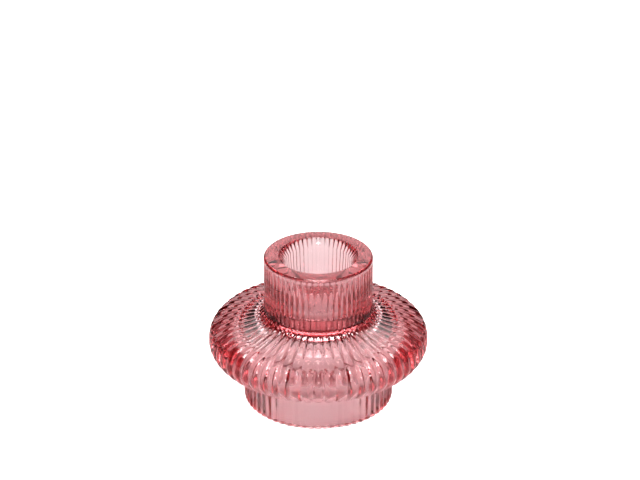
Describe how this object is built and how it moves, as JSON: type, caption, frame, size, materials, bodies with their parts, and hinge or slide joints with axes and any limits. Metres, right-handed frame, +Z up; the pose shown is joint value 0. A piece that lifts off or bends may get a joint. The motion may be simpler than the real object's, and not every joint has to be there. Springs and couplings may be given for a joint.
{
  "type": "glass candlestick",
  "caption": "Low moulded-glass candlestick with a wide ribbed disc body, a short ribbed neck with a socket for a dinner candle, and a ribbed foot ring round a deep hollow.",
  "frame": {"origin": "centre of the flat foot ring that the candlestick stands on", "axes": "+Z up along the axis of the candle; a rib crest lies on each of +X, -X, +Y and -Y"},
  "size_m": [0.085, 0.085, 0.06],
  "materials": {
    "rose_glass": "fire-polished, clear rose-tinted"
  },
  "bodies": {
    "root": {"glass_body": "rose_glass"}
  },
  "joints": []
}
